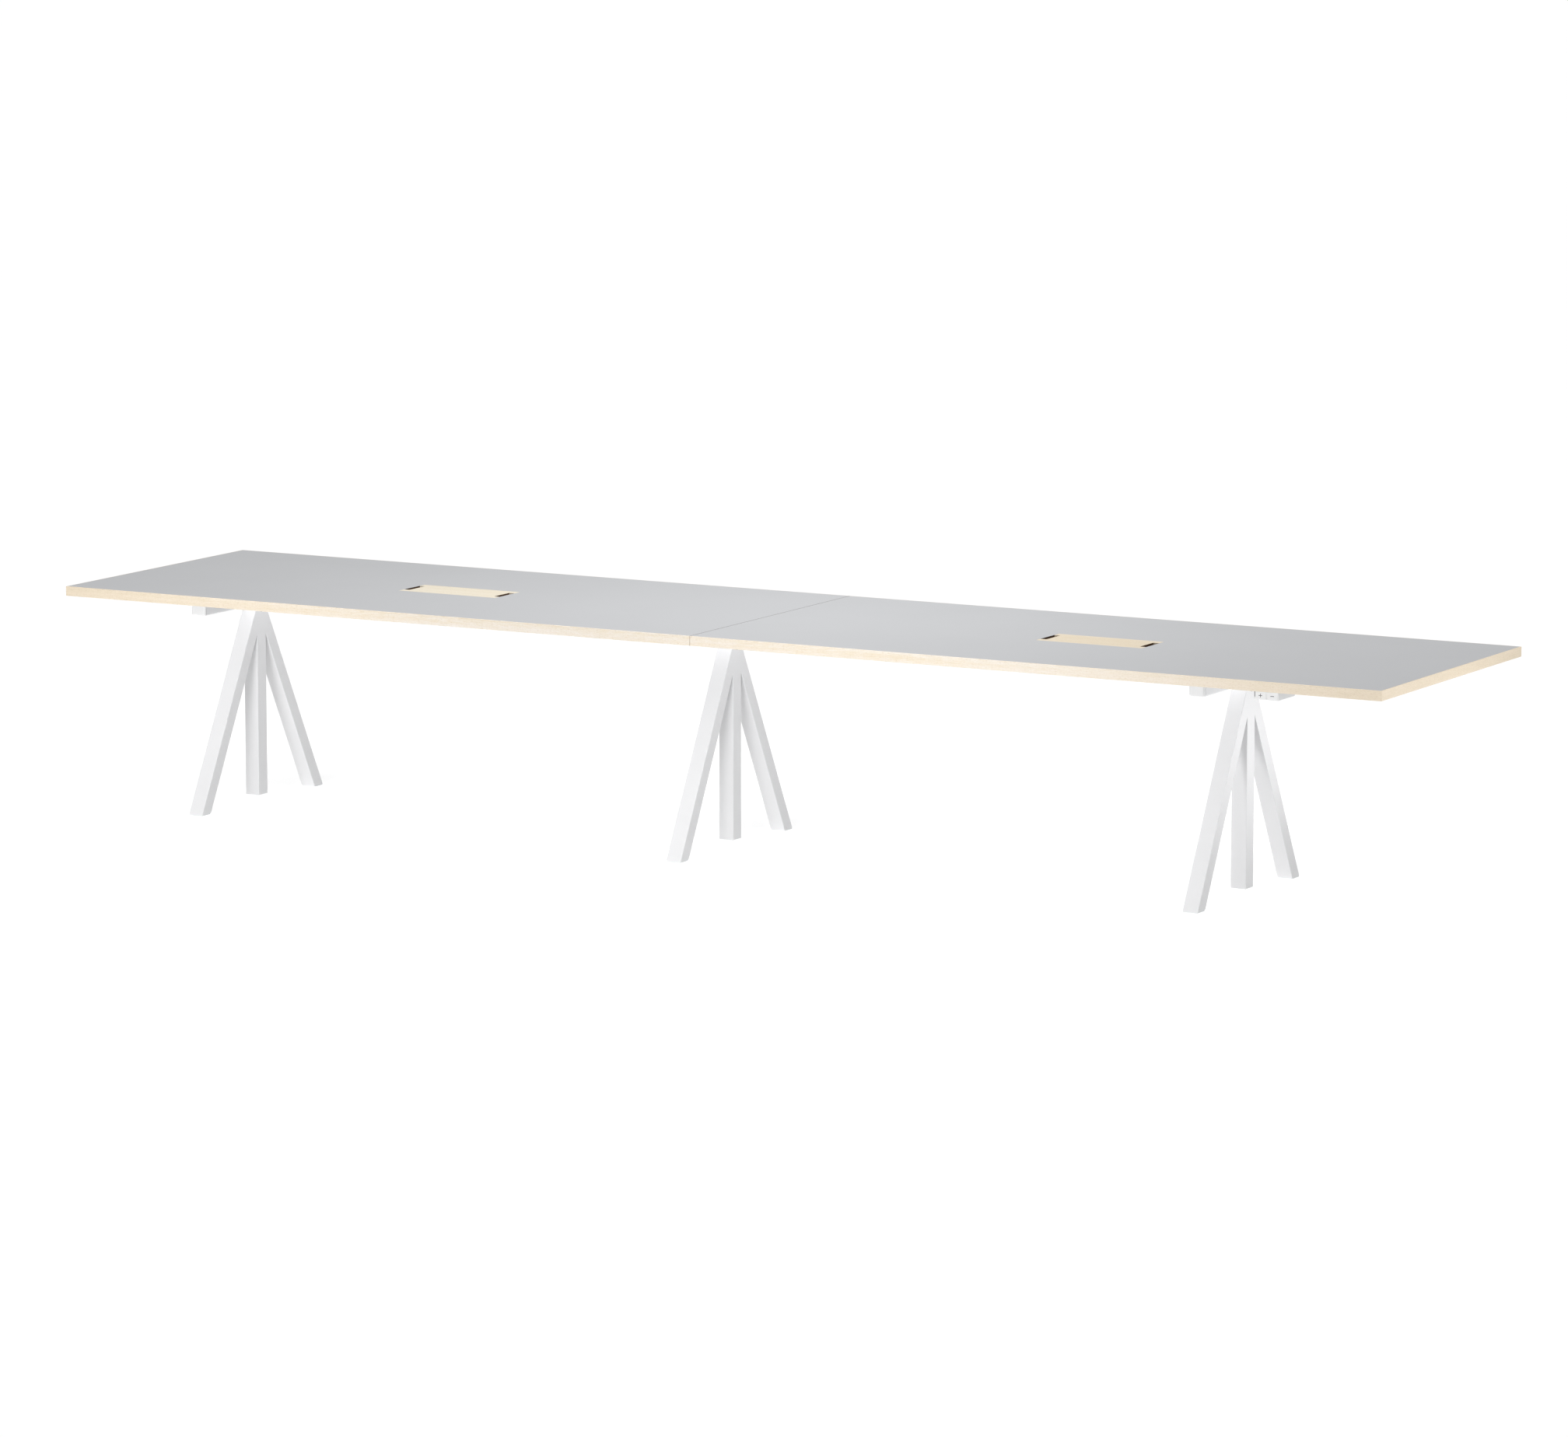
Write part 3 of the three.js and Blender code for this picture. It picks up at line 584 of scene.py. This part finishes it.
lino_mix = add_node(lino_tree, "ShaderNodeMath", {
    0: lino_mottle.outputs["Fac"], 1: lino_cloud.outputs["Fac"]}, operation="MULTIPLY")
lino_tone = add_node(lino_tree, "ShaderNodeMix", {
    0: lino_mix.outputs[0], 6: linear(LINOLEUM_DARK), 7: linear(LINOLEUM_LIGHT)}, data_type="RGBA")
lino_tree.links.new(lino_tone.outputs[2], lino_shader.inputs["Base Color"])
lino_grain = add_node(lino_tree, "ShaderNodeTexNoise", {"Vector": lino_place, "Scale": 1 / LINOLEUM_GRAIN})
lino_bump = add_node(lino_tree, "ShaderNodeBump", {
    "Height": lino_grain.outputs["Fac"], "Strength": 0.15, "Distance": LINOLEUM_GRAIN_DEPTH})
lino_tree.links.new(lino_bump.outputs[0], lino_shader.inputs["Normal"])
edge_shade, _, _ = new_material("linoleum edge painted dark as shade", Base_Color=linear(EDGE_SHADE_BROWN), Roughness=0.6)


def cut_away(piece, *cutters):
    """Cuts blocks out of a piece, removes them and merges the points that the cuts doubled."""
    for cutter in cutters:
        bpy.ops.object.select_all(action="DESELECT")
        piece.select_set(True)
        bpy.context.view_layer.objects.active = piece
        cut = piece.modifiers.new("cut", "BOOLEAN")
        cut.operation = "DIFFERENCE"
        cut.solver = "EXACT"
        cut.object = cutter
        bpy.ops.object.modifier_apply(modifier=cut.name)
        bpy.data.objects.remove(cutter)
    select(piece, "FACE", lambda face: True)
    bpy.ops.mesh.remove_doubles(threshold=MERGE_DISTANCE)
    bpy.ops.object.mode_set(mode="OBJECT")


for side in halves:
    low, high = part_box(f"linoleum_{side}")
    lid_low, lid_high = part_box(f"hatch_lid_{side}")
    sheet = add_block(f"linoleum_sheet_{side}", low, high)
    hole_low = lid_low - Vector((LID_GAP, LID_GAP, 0))
    hole_high = lid_high + Vector((LID_GAP, LID_GAP, CUT_BEYOND))
    cut_away(sheet, add_block("hole", hole_low, hole_high))

    def free_edge(edge):
        """Whether an edge of the sheet lies in the top face, at the seam or round the hatch."""
        point = middle(edge)
        beside = lid_low.x - EDGE_REACH < point.x < lid_high.x + EDGE_REACH
        round_hatch = beside and abs(point.y) < lid_high.y + EDGE_REACH
        return point.z > high.z - HAIR and (round_hatch or abs(point.x) < EDGE_REACH)

    select(sheet, "EDGE", free_edge)
    round_selected(LINOLEUM_EDGE, 2)
    finish_shading(sheet)
    sheet.data.materials.append(linoleum)
    # The second material is painted shade: it darkens the cut edges round the hatch and every edge face at
    # the seam.
    sheet.data.materials.append(edge_shade)
    for face in sheet.data.polygons:
        at_seam = abs(face.center.x) < SEAM_EDGE_REACH
        shaded_below = SQUARE_ON if at_seam else CUT_EDGE_TILT
        face.material_index = 1 if abs(face.normal.z) < shaded_below else 0
    settle(sheet, "top", "linoleum", f"linoleum_{side}")

# Lippings: solid ash strips glued round the outer edges, planed flush and eased along the outer corners.
# The grain runs along each strip, and the wood is a little more yellow towards both ends of the table. Ash
# streaks are finer than the picture shows, so they are drawn coarser, with the open pores between them.
LIPPING_EDGE = 0.0012
ASH_PALE = "#E6DFD6"
ASH_YELLOW = "#E8D9C3"
ASH_STREAK = "#DDCFB6"
ASH_PORE = "#B89C74"
STREAK_SIZE = (0.03, 0.0024)
BAND_SIZE = (0.9, 0.016)
PORE_SIZE = (0.009, 0.0005)
STREAK_FROM = 0.12
STREAK_FULL = 0.42
PORE_FROM = 0.54
PORE_FULL = 0.7
PORE_SHARE = 0.6
GRAIN_DEPTH = 0.0002
YELLOW_FROM = 1.0


def ash(name, grain, pale, yellow, streak):
    """Lacquered ash, grain along X or Y: slow bands, darker streaks, open pores and yellower ends."""
    made, tree, shader = new_material(name, Roughness=0.48, IOR=1.5)
    place = add_node(tree, "ShaderNodeTexCoord", {}).outputs["Object"]
    tones = []
    for length, width in (STREAK_SIZE, BAND_SIZE, PORE_SIZE):
        stretch = [1 / length if axis == grain else 1 / width for axis in "XYZ"]
        turned = add_node(tree, "ShaderNodeMapping", {"Vector": place, "Scale": stretch})
        tones.append(add_node(tree, "ShaderNodeTexNoise", {
            "Vector": turned.outputs[0], "Scale": 1, "Detail": 4, "Distortion": 0.3}).outputs["Fac"])
    both = add_node(tree, "ShaderNodeMath", {0: tones[0], 1: tones[1]}, operation="MULTIPLY")
    share = add_node(tree, "ShaderNodeMapRange", {
        "Value": both.outputs[0], "From Min": STREAK_FROM, "From Max": STREAK_FULL})
    along = add_node(tree, "ShaderNodeSeparateXYZ", {"Vector": place})
    off_middle = add_node(tree, "ShaderNodeMath", {0: along.outputs["X"]}, operation="ABSOLUTE")
    far = add_node(tree, "ShaderNodeMapRange", {
        "Value": off_middle.outputs[0], "From Min": YELLOW_FROM, "From Max": cad_box[1].x})
    ground = add_node(tree, "ShaderNodeMix", {
        0: far.outputs[0], 6: linear(pale), 7: linear(yellow)}, data_type="RGBA")
    tone = add_node(tree, "ShaderNodeMix", {
        0: share.outputs[0], 6: ground.outputs[2], 7: linear(streak)}, data_type="RGBA")
    open_pore = add_node(tree, "ShaderNodeMapRange", {
        "Value": tones[2], "From Min": PORE_FROM, "From Max": PORE_FULL, "To Max": PORE_SHARE})
    pored = add_node(tree, "ShaderNodeMix", {
        0: open_pore.outputs[0], 6: tone.outputs[2], 7: linear(ASH_PORE)}, data_type="RGBA")
    tree.links.new(pored.outputs[2], shader.inputs["Base Color"])
    bump = add_node(tree, "ShaderNodeBump", {
        "Height": tones[0], "Strength": 0.15, "Distance": GRAIN_DEPTH})
    tree.links.new(bump.outputs[0], shader.inputs["Normal"])
    return made


ash_along = ash("ash lipping along the table", "X", ASH_PALE, ASH_YELLOW, ASH_STREAK)
ash_across = ash("ash lipping across the table", "Y", ASH_PALE, ASH_YELLOW, ASH_STREAK)
outer_corner = cad_box[1]


def on_outside(edge):
    """Whether an edge lies on the table's outer sides."""
    point = middle(edge)
    return abs(point.x) > outer_corner.x - HAIR or abs(point.y) > outer_corner.y - HAIR


for side in halves:
    for edge_name, wood in (("front", ash_along), ("rear", ash_along), ("end", ash_across)):
        low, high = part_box(f"edge_{edge_name}_{side}")
        strip = add_block(f"lipping_{edge_name}_{side}", low, high)
        select(strip, "EDGE", on_outside)
        round_selected(LIPPING_EDGE, 3)
        finish_shading(strip)
        strip.data.materials.append(wood)
        settle(strip, "top", "ash_lipping", f"edge_{edge_name}_{side}")

# Hatch linings: fibreboard frames let into the boards, with a ledge along both long sides
# that carries the lid. They show only as walls in the cable slots, where their dark colour is painted shade.
SLOT_SHADE_PALE = "#6A4A31"
SLOT_SHADE_DARK = "#54391F"
FIBRE_SPECKLE = 0.002
FIBRE_NAP = 0.001
slot_shade_board = speckled_board("fibreboard painted dark as slot shade", SLOT_SHADE_PALE, SLOT_SHADE_DARK, FIBRE_SPECKLE, FIBRE_NAP)
for side in halves:
    refinish(f"hatch_lining_{side}", slot_shade_board)

# Hatch lids: the same board between two strips of solid ash, veneered with ash, flush with the linoleum, and
# painted dark as shade on its slot walls. A slot across each end, from strip to strip, lets cables out and
# gives a fingertip its hold.
SLOT_WIDTH = 0.021
SLOT_LENGTH = 0.092
SLOT_CORNER = 0.004
LID_EDGE = 0.0005
CREASE_ANGLE = 0.5
# Both lids are one ash veneer; the right lid's tones are a darker copy of the left's, as painted shade.
LID_TONES_LIT_AND_SHADED = {"left": ("#E3DCCC", "#DBCFB7"), "right": ("#DBD0BD", "#D3C4A9")}
for side in halves:
    lid_pale, lid_streak = LID_TONES_LIT_AND_SHADED[side]
    ash_veneer = ash(f"ash veneer on the {side} hatch lid", "X", lid_pale, lid_pale, lid_streak)
    low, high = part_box(f"hatch_lid_{side}")
    lid = add_block(f"lid_{side}", low, high)
    for end, sign in ((low.x, 1), (high.x, -1)):
        inner_wall = end + sign * (SLOT_WIDTH - LID_GAP)
        outside = end - sign * SLOT_WIDTH
        slot = add_block("slot", (min(inner_wall, outside), -SLOT_LENGTH / 2, low.z - CUT_BEYOND),
                         (max(inner_wall, outside), SLOT_LENGTH / 2, high.z + CUT_BEYOND))
        select(slot, "EDGE", lambda edge: runs_along(edge, UP))
        round_selected(SLOT_CORNER, 5)
        cut_away(lid, slot)
    select(lid, "EDGE",
           lambda edge: middle(edge).z > high.z - HAIR and edge.calc_face_angle(0) > CREASE_ANGLE)
    round_selected(LID_EDGE, 2)
    lid.data.materials.append(ash_veneer)
    # The slot walls outside the ash strips take the dark board: painted shade in the narrow slots.
    lid.data.materials.append(slot_shade_board)
    for face in lid.data.polygons:
        in_strip = abs(face.center.y) > (SLOT_LENGTH - SLOT_CORNER) / 2 and not points(face, -UP)
        face.material_index = 0 if face.normal.z > CUT_EDGE_TILT or in_strip else 1
    finish_shading(lid)
    settle(lid, f"{side}_lid", "ash_hatch", f"hatch_lid_{side}")

# Cable ducts: white sheet steel folded to a hat section, from arm to arm under the hatches. The flanges
# are screwed to the boards, and the folds have a small bend radius.
DUCT_WALL = 0.0015
DUCT_FLANGE = 0.016
FOLD_RADIUS = 0.003
for side in halves:
    low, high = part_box(f"cable_duct_{side}")
    web_low = Vector((low.x, low.y + DUCT_FLANGE, low.z))
    web_high = Vector((high.x, high.y - DUCT_FLANGE, high.z - DUCT_WALL))
    duct = add_block(f"folded_duct_{side}", web_low, web_high)
    select(duct, "FACE",
           lambda face: points(face, UP) or points(face, ALONG) or points(face, -ALONG))
    bpy.ops.mesh.delete(type="FACE")
    bpy.ops.object.mode_set(mode="OBJECT")
    for sign in (-1, 1):
        select(duct, "EDGE", lambda edge: runs_along(edge, ALONG) and edge.is_boundary
               and middle(edge).y * sign > 0)
        bpy.ops.mesh.extrude_edges_move(TRANSFORM_OT_translate={"value": ACROSS * sign * DUCT_FLANGE})
        bpy.ops.object.mode_set(mode="OBJECT")
    select(duct, "EDGE", lambda edge: runs_along(edge, ALONG) and not edge.is_boundary)
    round_selected(FOLD_RADIUS, 4)
    wall = duct.modifiers.new("wall", "SOLIDIFY")
    wall.thickness = DUCT_WALL
    wall.use_even_offset = True
    bpy.ops.object.modifier_apply(modifier=wall.name)
    finish_shading(duct)
    duct.data.materials.append(powder_coat)
    settle(duct, "top", "white_steel", f"cable_duct_{side}")

# Seam plates: zinc-plated flat bars with eased edges, screwed up across the joint of the two halves, which
# they keep level.
PLATE_EDGE = 0.0008


def ease(piece, width, segments):
    """Rounds every edge of a blocky piece."""
    select(piece, "EDGE", lambda edge: edge.calc_face_angle(0) > CREASE_ANGLE)
    round_selected(width, segments)
    finish_shading(piece)


for end in ("front", "rear"):
    low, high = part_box(f"seam_plate_{end}")
    plate = add_block(f"joint_plate_{end}", low, high)
    ease(plate, PLATE_EDGE, 2)
    plate.data.materials.append(zinc_steel)
    settle(plate, "top", "bright_steel", f"seam_plate_{end}")

# Screws: zinc-plated pan heads with a socket, up through the duct flanges, the seam plates and the ears of
# the control box. One head is modelled and copied, and each row of heads is one piece.
HEAD_RADIUS = 0.0045
HEAD_HEIGHT = 0.0026
HEAD_ROUNDING = 0.00156
SOCKET_RADIUS = 0.0018
SOCKET_DEPTH = 0.00156
bpy.ops.object.select_all(action="DESELECT")
bpy.ops.mesh.primitive_cylinder_add(vertices=ROUND_STEPS, radius=HEAD_RADIUS, depth=HEAD_HEIGHT,
                                    location=(0, 0, -HEAD_HEIGHT / 2))
screw = bpy.context.object
bpy.ops.object.transform_apply(location=True, rotation=True, scale=True)
select(screw, "EDGE", lambda edge: middle(edge).z < HAIR - HEAD_HEIGHT)
round_selected(HEAD_ROUNDING, 4)
select(screw, "FACE", lambda face: points(face, -UP))
bpy.ops.mesh.inset(thickness=HEAD_RADIUS - HEAD_ROUNDING - SOCKET_RADIUS)
bpy.ops.mesh.extrude_region_move(TRANSFORM_OT_translate={"value": UP * SOCKET_DEPTH})
bpy.ops.object.mode_set(mode="OBJECT")
finish_shading(screw)
screw.data.materials.append(zinc_steel)


def screw_row(name, places):
    """One piece made of screw heads that hang under these points."""
    heads = [copy_of(screw, name, Matrix.Translation(place)) for place in places]
    bpy.ops.object.select_all(action="DESELECT")
    for head in heads:
        head.select_set(True)
    bpy.context.view_layer.objects.active = heads[0]
    bpy.ops.object.join()
    settle(heads[0], "top", "bright_steel")


DUCT_SCREWS = 5
DUCT_SCREW_FROM_END = 0.06
DUCT_SCREW_FROM_EDGE = 0.0072
for side in halves:
    low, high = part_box(f"cable_duct_{side}")
    step = (high.x - low.x - 2 * DUCT_SCREW_FROM_END) / (DUCT_SCREWS - 1)
    along = [low.x + DUCT_SCREW_FROM_END + step * i for i in range(DUCT_SCREWS)]
    across = (low.y + DUCT_SCREW_FROM_EDGE, high.y - DUCT_SCREW_FROM_EDGE)
    screw_row(f"duct_screws_{side}", [(x, y, high.z - DUCT_WALL) for x in along for y in across])
PLATE_SCREW_FROM_END = 0.018
for end in ("front", "rear"):
    low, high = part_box(f"seam_plate_{end}")
    outermost = (high.x - low.x) / 2 - PLATE_SCREW_FROM_END
    along = (-outermost, -outermost / 2, outermost / 2, outermost)
    screw_row(f"joint_plate_screws_{end}", [(x, (low.y + high.y) / 2, low.z) for x in along])

# Control panel: a small white moulded housing screwed under the front edge near the right end, with two
# pockets for its buttons and a narrow slit down the left of its face, painted dark inside as shade.
PANEL_CORNER = 0.002
POCKET_CLEARANCE = 0.0003
BUTTON_TRAVEL = 0.0015
SLIT_WIDTH = 0.002
SLIT_HEIGHT = 0.016
SLIT_FROM_EDGE = 0.003
SLIT_DEPTH = 0.002
SLIT_SHADE_GREY = "#3C3C3E"
panel_low, panel_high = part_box("control_panel")
panel = add_block("panel_housing", panel_low, panel_high)
select(panel, "EDGE", lambda edge: middle(edge).z < panel_high.z - HAIR)
round_selected(PANEL_CORNER, 4)
buttons = {name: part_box(name) for name in ("raise_button", "lower_button")}
pockets = []
for low, high in buttons.values():
    clear = Vector((POCKET_CLEARANCE, 0, POCKET_CLEARANCE))
    back = ACROSS * (BUTTON_TRAVEL + 2 * POCKET_CLEARANCE)
    pockets.append(add_block("pocket", low - clear - ACROSS * CUT_BEYOND, high + clear + back))
slit_low = Vector((panel_low.x + SLIT_FROM_EDGE - SLIT_WIDTH / 2, panel_low.y,
                     panel_high.z - SLIT_HEIGHT))
slit_high = slit_low + Vector((SLIT_WIDTH, SLIT_DEPTH, SLIT_HEIGHT))
cut_away(panel, *pockets, add_block("window", slit_low - ACROSS * SLIT_DEPTH, slit_high))
finish_shading(panel)
panel.data.materials.append(white_plastic)
# The dark colour inside the slit is painted shade.
slit_shade, _, _ = new_material("painted shade in the slit", Base_Color=linear(SLIT_SHADE_GREY), Roughness=0.2, IOR=1.49)
panel.data.materials.append(slit_shade)
for face in panel.data.polygons:
    in_width = abs(face.center.x - (slit_low.x + slit_high.x) / 2) < SLIT_WIDTH
    in_height = face.center.z > slit_low.z - HAIR
    in_depth = slit_low.y + HAIR < face.center.y < slit_high.y + HAIR
    face.material_index = 1 if in_width and in_height and in_depth else 0
settle(panel, "top", "white_plastic", "control_panel")

# Buttons: white moulded keys with soft edges and a dark printed plus or minus, standing flush in the
# panel's face and travelling straight back.
BUTTON_EDGE = 0.0006
MARK_LENGTH = 0.0112
MARK_STROKE = 0.0017
MARK_RAISE = 0.00015
MARK_INK = "#3A3A3C"
mark_ink, _, _ = new_material("dark printing ink", Base_Color=linear(MARK_INK), Roughness=0.55)
for name, (low, high) in buttons.items():
    key = add_block(f"key_{name}", low, high)
    ease(key, BUTTON_EDGE, 3)
    key.data.materials.append(white_plastic)
    settle(key, name, "white_plastic", name)
    face_centre = Vector(((low.x + high.x) / 2, low.y, (low.z + high.z) / 2))
    bar = Vector((MARK_LENGTH / 2, MARK_RAISE, MARK_STROKE / 2))
    mark = add_block(f"mark_{name}", face_centre - bar, face_centre + bar)
    if name == "raise_button":
        select(mark, "FACE", lambda face: True)
        for cut_x in (-MARK_STROKE / 2, MARK_STROKE / 2):
            bpy.ops.mesh.select_all(action="SELECT")
            bpy.ops.mesh.bisect(plane_co=face_centre + ALONG * cut_x, plane_no=ALONG)
        bpy.ops.object.mode_set(mode="OBJECT")
        reach = (MARK_LENGTH - MARK_STROKE) / 2
        for sign in (-1, 1):
            select(mark, "FACE", lambda face: points(face, UP * sign)
                   and abs(middle(face).x - face_centre.x) < MARK_STROKE / 4)
            bpy.ops.mesh.extrude_region_move(TRANSFORM_OT_translate={"value": UP * sign * reach})
            bpy.ops.object.mode_set(mode="OBJECT")
    mark.data.materials.append(mark_ink)
    settle(mark, name, "black_plastic")

# Control box: black moulded housing of the motor control, screwed up by its two ears, with a recessed
# mains inlet in its right end.
BOX_EDGE = 0.0015
BOX_EAR = 0.016
BOX_EAR_THICKNESS = 0.004
INLET_RECESS = 0.017
INLET_SIZE = Vector((0, 0.028, 0.02))
BOX_BLACK = "#1C1D1F"
black_plastic = grained_finish("black moulded plastic", BOX_BLACK, roughness=0.5)
box_low, box_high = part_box("control_box")
ear = ALONG * BOX_EAR
housing = add_block("control_housing", box_low + ear, box_high - ear)
select(housing, "FACE", lambda face: True)
bpy.ops.mesh.bisect(plane_co=(0, 0, box_high.z - BOX_EAR_THICKNESS), plane_no=UP)
bpy.ops.object.mode_set(mode="OBJECT")
for sign in (-1, 1):
    select(housing, "FACE", lambda face: points(face, ALONG * sign)
           and middle(face).z > box_high.z - BOX_EAR_THICKNESS)
    bpy.ops.mesh.extrude_region_move(TRANSFORM_OT_translate={"value": ear * sign})
    bpy.ops.object.mode_set(mode="OBJECT")
ease(housing, BOX_EDGE, 3)
inlet_middle = Vector((box_high.x - BOX_EAR, (box_low.y + box_high.y) / 2,
                       (box_low.z + box_high.z - BOX_EAR_THICKNESS) / 2))
inlet_half = INLET_SIZE / 2 + ALONG * INLET_RECESS
cut_away(housing, add_block("inlet", inlet_middle - inlet_half, inlet_middle + inlet_half))
finish_shading(housing)
housing.data.materials.append(black_plastic)
settle(housing, "top", "black_plastic", "control_box")
ear_middle = BOX_EAR / 2
box_spots = [(x, y, box_high.z - BOX_EAR_THICKNESS)
             for x in (box_low.x + ear_middle, box_high.x - ear_middle)
             for y in (box_low.y + BOX_EAR, box_high.y - BOX_EAR)]
screw_row("control_box_screws", box_spots)
bpy.data.objects.remove(screw)
